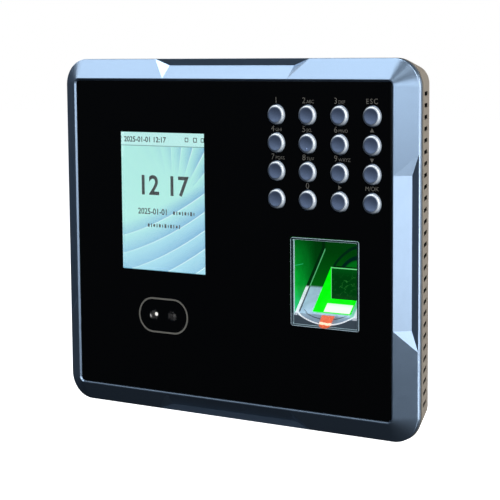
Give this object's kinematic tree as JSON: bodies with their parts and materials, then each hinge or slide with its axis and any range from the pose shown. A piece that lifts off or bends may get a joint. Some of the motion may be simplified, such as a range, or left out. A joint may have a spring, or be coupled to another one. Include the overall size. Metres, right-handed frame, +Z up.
{
  "type": "fingerprint scanner terminal",
  "caption": "Wall-mounted fingerprint terminal with a sloped metal bezel, gloss panel, colour display, key pad, camera window and a recessed finger sensor.",
  "frame": {"origin": "centre of the wall plate's back face, on the wall", "axes": "+X to the right seen from the front, +Y into the wall, +Z up; the front faces -Y"},
  "size_m": [0.1734, 0.0326, 0.1474],
  "materials": {
    "bezel_metal": "satin metallic blue-silver paint",
    "panel_gloss": "high gloss black, printed on the back",
    "case_plastic": "fine moulded texture, taupe",
    "key_metal": "satin metallic blue-grey",
    "silicone": "matt",
    "board": "solder resist",
    "chip": "matt moulding",
    "steel": "plain",
    "white_plastic": "satin",
    "black_plastic": "satin",
    "sensor_glass": "polished, lit green",
    "lens_glass": "polished lens",
    "screen": "lit display",
    "film": "translucent orange film",
    "ribbon": "polyimide",
    "guide_plastic": "dark slate plastic, lit green inside",
    "terminal_plastic": "moulded"
  },
  "bodies": {
    "housing": {"front_bezel": "bezel_metal", "front_panel": "panel_gloss", "key_mat": "silicone", "keypad_board": "board", "keypad_ribbon": "ribbon", "lcd_glass": "screen", "lcd_frame": "white_plastic", "lcd_ribbon": "ribbon", "camera_holder": "black_plastic", "camera_lens_left": "lens_glass", "camera_lens_right": "lens_glass", "camera_board": "board", "finger_guide": "guide_plastic", "fp_prism": "sensor_glass", "fp_housing": "black_plastic", "fp_light_board": "board", "fp_lens": "lens_glass", "fp_sensor_board": "board", "fp_ribbon": "ribbon", "film_tab": "film", "main_board": "board", "processor": "chip", "memory_chip": "chip", "coin_cell": "steel", "buzzer": "black_plastic", "relay": "chip", "capacitor": "chip", "terminal_block": "terminal_plastic", "network_jack": "steel", "power_jack": "black_plastic", "usb_socket": "steel", "loudspeaker": "black_plastic", "tamper_switch": "chip", "tamper_spring": "steel", "back_cover": "case_plastic", "wall_plate": "steel", "locking_screw": "steel", "case_screw_1": "steel", "case_screw_2": "steel", "case_screw_3": "steel", "case_screw_4": "steel", "board_screw_1": "steel", "board_screw_2": "steel"},
    "key_1_cap": {"key_1": "key_metal"},
    "key_2_cap": {"key_2": "key_metal"},
    "key_3_cap": {"key_3": "key_metal"},
    "key_esc_cap": {"key_esc": "key_metal"},
    "key_4_cap": {"key_4": "key_metal"},
    "key_5_cap": {"key_5": "key_metal"},
    "key_6_cap": {"key_6": "key_metal"},
    "key_up_cap": {"key_up": "key_metal"},
    "key_7_cap": {"key_7": "key_metal"},
    "key_8_cap": {"key_8": "key_metal"},
    "key_9_cap": {"key_9": "key_metal"},
    "key_down_cap": {"key_down": "key_metal"},
    "key_blank_cap": {"key_blank": "key_metal"},
    "key_0_cap": {"key_0": "key_metal"},
    "key_right_cap": {"key_right": "key_metal"},
    "key_menu_ok_cap": {"key_menu_ok": "key_metal"},
    "plunger": {"tamper_plunger": "white_plastic"}
  },
  "joints": [
    {"name": "press_key_1", "type": "slide", "parent": "housing", "child": "key_1_cap", "axis": [0, 1, 0], "range_m": [0, 0.0007], "stiffness_N_per_m": 2000, "deforming": ["key_mat"]},
    {"name": "press_key_2", "type": "slide", "parent": "housing", "child": "key_2_cap", "axis": [0, 1, 0], "range_m": [0, 0.0007], "stiffness_N_per_m": 2000, "deforming": ["key_mat"]},
    {"name": "press_key_3", "type": "slide", "parent": "housing", "child": "key_3_cap", "axis": [0, 1, 0], "range_m": [0, 0.0007], "stiffness_N_per_m": 2000, "deforming": ["key_mat"]},
    {"name": "press_key_esc", "type": "slide", "parent": "housing", "child": "key_esc_cap", "axis": [0, 1, 0], "range_m": [0, 0.0007], "stiffness_N_per_m": 2000, "deforming": ["key_mat"]},
    {"name": "press_key_4", "type": "slide", "parent": "housing", "child": "key_4_cap", "axis": [0, 1, 0], "range_m": [0, 0.0007], "stiffness_N_per_m": 2000, "deforming": ["key_mat"]},
    {"name": "press_key_5", "type": "slide", "parent": "housing", "child": "key_5_cap", "axis": [0, 1, 0], "range_m": [0, 0.0007], "stiffness_N_per_m": 2000, "deforming": ["key_mat"]},
    {"name": "press_key_6", "type": "slide", "parent": "housing", "child": "key_6_cap", "axis": [0, 1, 0], "range_m": [0, 0.0007], "stiffness_N_per_m": 2000, "deforming": ["key_mat"]},
    {"name": "press_key_up", "type": "slide", "parent": "housing", "child": "key_up_cap", "axis": [0, 1, 0], "range_m": [0, 0.0007], "stiffness_N_per_m": 2000, "deforming": ["key_mat"]},
    {"name": "press_key_7", "type": "slide", "parent": "housing", "child": "key_7_cap", "axis": [0, 1, 0], "range_m": [0, 0.0007], "stiffness_N_per_m": 2000, "deforming": ["key_mat"]},
    {"name": "press_key_8", "type": "slide", "parent": "housing", "child": "key_8_cap", "axis": [0, 1, 0], "range_m": [0, 0.0007], "stiffness_N_per_m": 2000, "deforming": ["key_mat"]},
    {"name": "press_key_9", "type": "slide", "parent": "housing", "child": "key_9_cap", "axis": [0, 1, 0], "range_m": [0, 0.0007], "stiffness_N_per_m": 2000, "deforming": ["key_mat"]},
    {"name": "press_key_down", "type": "slide", "parent": "housing", "child": "key_down_cap", "axis": [0, 1, 0], "range_m": [0, 0.0007], "stiffness_N_per_m": 2000, "deforming": ["key_mat"]},
    {"name": "press_key_blank", "type": "slide", "parent": "housing", "child": "key_blank_cap", "axis": [0, 1, 0], "range_m": [0, 0.0007], "stiffness_N_per_m": 2000, "deforming": ["key_mat"]},
    {"name": "press_key_0", "type": "slide", "parent": "housing", "child": "key_0_cap", "axis": [0, 1, 0], "range_m": [0, 0.0007], "stiffness_N_per_m": 2000, "deforming": ["key_mat"]},
    {"name": "press_key_right", "type": "slide", "parent": "housing", "child": "key_right_cap", "axis": [0, 1, 0], "range_m": [0, 0.0007], "stiffness_N_per_m": 2000, "deforming": ["key_mat"]},
    {"name": "press_key_menu_ok", "type": "slide", "parent": "housing", "child": "key_menu_ok_cap", "axis": [0, 1, 0], "range_m": [0, 0.0007], "stiffness_N_per_m": 2000, "deforming": ["key_mat"]},
    {"name": "press_tamper_plunger", "type": "slide", "parent": "housing", "child": "plunger", "axis": [0, -1, 0], "range_m": [0, 0.0008], "stiffness_N_per_m": 400, "deforming": ["tamper_spring"]}
  ]
}
